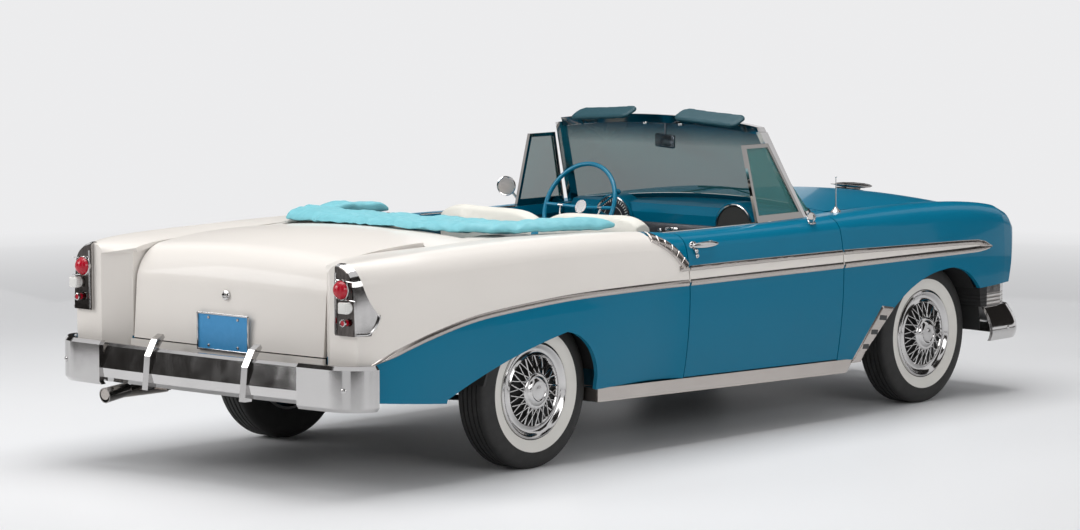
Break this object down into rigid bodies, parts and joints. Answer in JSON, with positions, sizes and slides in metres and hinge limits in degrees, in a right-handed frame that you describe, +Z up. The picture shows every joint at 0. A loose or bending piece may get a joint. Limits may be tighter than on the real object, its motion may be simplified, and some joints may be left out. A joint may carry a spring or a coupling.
{
  "type": "two-door convertible car of the 1950s",
  "caption": "Full-size two-door convertible with its top folded: two-tone body, wrapped windshield, opening doors, hood and trunk lid, steered front wheels, free-rolling whitewall wheels.",
  "frame": {"origin": "centre of the car's footprint, on the ground", "axes": "+X to the front, +Y to the car's left, +Z up"},
  "size_m": [5.0169, 1.8698, 1.477],
  "materials": {
    "body_blue": "gloss two-stage paint",
    "body_white": "gloss ivory paint",
    "chrome": "polished plating",
    "stainless": "polished stainless",
    "glass": "tinted laminated glass",
    "tyre": "black rubber with a white wall",
    "wheel": "chromed cover on a painted rim",
    "frame_black": "satin chassis black",
    "cast_iron": "painted castings",
    "upholstery": "ivory vinyl-coated leathercloth",
    "boot_fabric": "light turquoise coated cloth",
    "trim_blue": "painted and moulded cabin trim",
    "visor": "dark teal vinyl",
    "lamp_glass": "fluted lens",
    "lamp_red": "red lens in a plated housing",
    "plate": "blank enamelled plate",
    "mirror": "silvered glass"
  },
  "bodies": {
    "body": {"chassis_frame": "frame_black", "cowl": "body_blue", "dashboard": "trim_blue", "engine_block": "cast_iron", "exhaust": "stainless", "floor_pan": "frame_black", "front_bumper": "chrome", "front_fender_left": "body_blue", "front_fender_right": "body_blue", "front_seat_backs": "upholstery", "front_seat_cushion": "upholstery", "front_suspension": "frame_black", "grille": "chrome", "headlamps": "lamp_glass", "inside_mirror": "mirror", "parking_lamps": "lamp_glass", "quarter_panel_left": "body_white", "quarter_panel_right": "body_white", "radiator": "frame_black", "rear_axle": "frame_black", "rear_bumper": "chrome", "rear_deck": "body_white", "rear_seat_back": "upholstery", "rear_seat_cushion": "upholstery", "rocker_panels": "body_blue", "side_trim": "trim_blue", "steering_column": "trim_blue", "sun_visors": "visor", "tail_lamps": "lamp_red", "tail_panel": "body_white", "top_boot": "boot_fabric", "crossmembers": "frame_black", "tie_downs": "frame_black", "wheelhouses": "frame_black", "leaf_springs": "frame_black", "windshield_frame": "stainless", "windshield_glass": "glass"},
    "door_left": {"door_left": "body_blue", "vent_window_left": "glass"},
    "door_right": {"door_right": "body_blue", "vent_window_right": "glass"},
    "hood": {"hood": "body_blue"},
    "trunk_lid": {"trunk_lid": "body_white", "licence_plate": "plate"},
    "steering_wheel": {"steering_wheel": "trim_blue"},
    "knuckle_left": {"knuckle_left": "cast_iron"},
    "knuckle_right": {"knuckle_right": "cast_iron"},
    "front_wheel_left": {"tyre_front_left": "tyre", "wheel_front_left": "wheel"},
    "front_wheel_right": {"tyre_front_right": "tyre", "wheel_front_right": "wheel"},
    "rear_wheel_left": {"tyre_rear_left": "tyre", "wheel_rear_left": "wheel"},
    "rear_wheel_right": {"tyre_rear_right": "tyre", "wheel_rear_right": "wheel"}
  },
  "joints": [
    {"name": "door_left_hinge", "type": "hinge", "parent": "body", "child": "door_left", "pos_m": [0.8605, 0.931, 0.64], "axis": [0, 0, -1], "range_deg": [0, 62]},
    {"name": "door_right_hinge", "type": "hinge", "parent": "body", "child": "door_right", "pos_m": [0.8605, -0.931, 0.64], "axis": [0, 0, 1], "range_deg": [0, 62]},
    {"name": "hood_hinge", "type": "hinge", "parent": "body", "child": "hood", "pos_m": [1.1065, 0, 1.018], "axis": [0, -1, 0], "range_deg": [0, 48]},
    {"name": "trunk_hinge", "type": "hinge", "parent": "body", "child": "trunk_lid", "pos_m": [-1.5285, 0, 1.044], "axis": [0, 1, 0], "range_deg": [0, 55]},
    {"name": "steer_left", "type": "hinge", "parent": "body", "child": "knuckle_left", "pos_m": [1.6825, 0.655, 0.343], "axis": [0, 0, 1], "range_deg": [-30, 30]},
    {"name": "steer_right", "type": "hinge", "parent": "body", "child": "knuckle_right", "pos_m": [1.6825, -0.655, 0.343], "axis": [0, 0, 1], "range_deg": [-30, 30]},
    {"name": "steering_wheel_turn", "type": "hinge", "parent": "body", "child": "steering_wheel", "pos_m": [0.4615, 0.38, 0.985], "axis": [-0.9272, 0, 0.3746], "range_deg": [-480, 480]},
    {"name": "spin_front_left", "type": "hinge", "parent": "knuckle_left", "child": "front_wheel_left", "pos_m": [1.6825, 0.7365, 0.343], "axis": [0, 1, 0], "continuous": true},
    {"name": "spin_front_right", "type": "hinge", "parent": "knuckle_right", "child": "front_wheel_right", "pos_m": [1.6825, -0.7365, 0.343], "axis": [0, 1, 0], "continuous": true},
    {"name": "spin_rear_left", "type": "hinge", "parent": "body", "child": "rear_wheel_left", "pos_m": [-1.2385, 0.748, 0.343], "axis": [0, 1, 0], "continuous": true},
    {"name": "spin_rear_right", "type": "hinge", "parent": "body", "child": "rear_wheel_right", "pos_m": [-1.2385, -0.748, 0.343], "axis": [0, 1, 0], "continuous": true}
  ],
  "couplings": [
    {"joint": "steer_right", "follows": "steer_left", "ratio": 1},
    {"joint": "steering_wheel_turn", "follows": "steer_left", "ratio": 16}
  ]
}
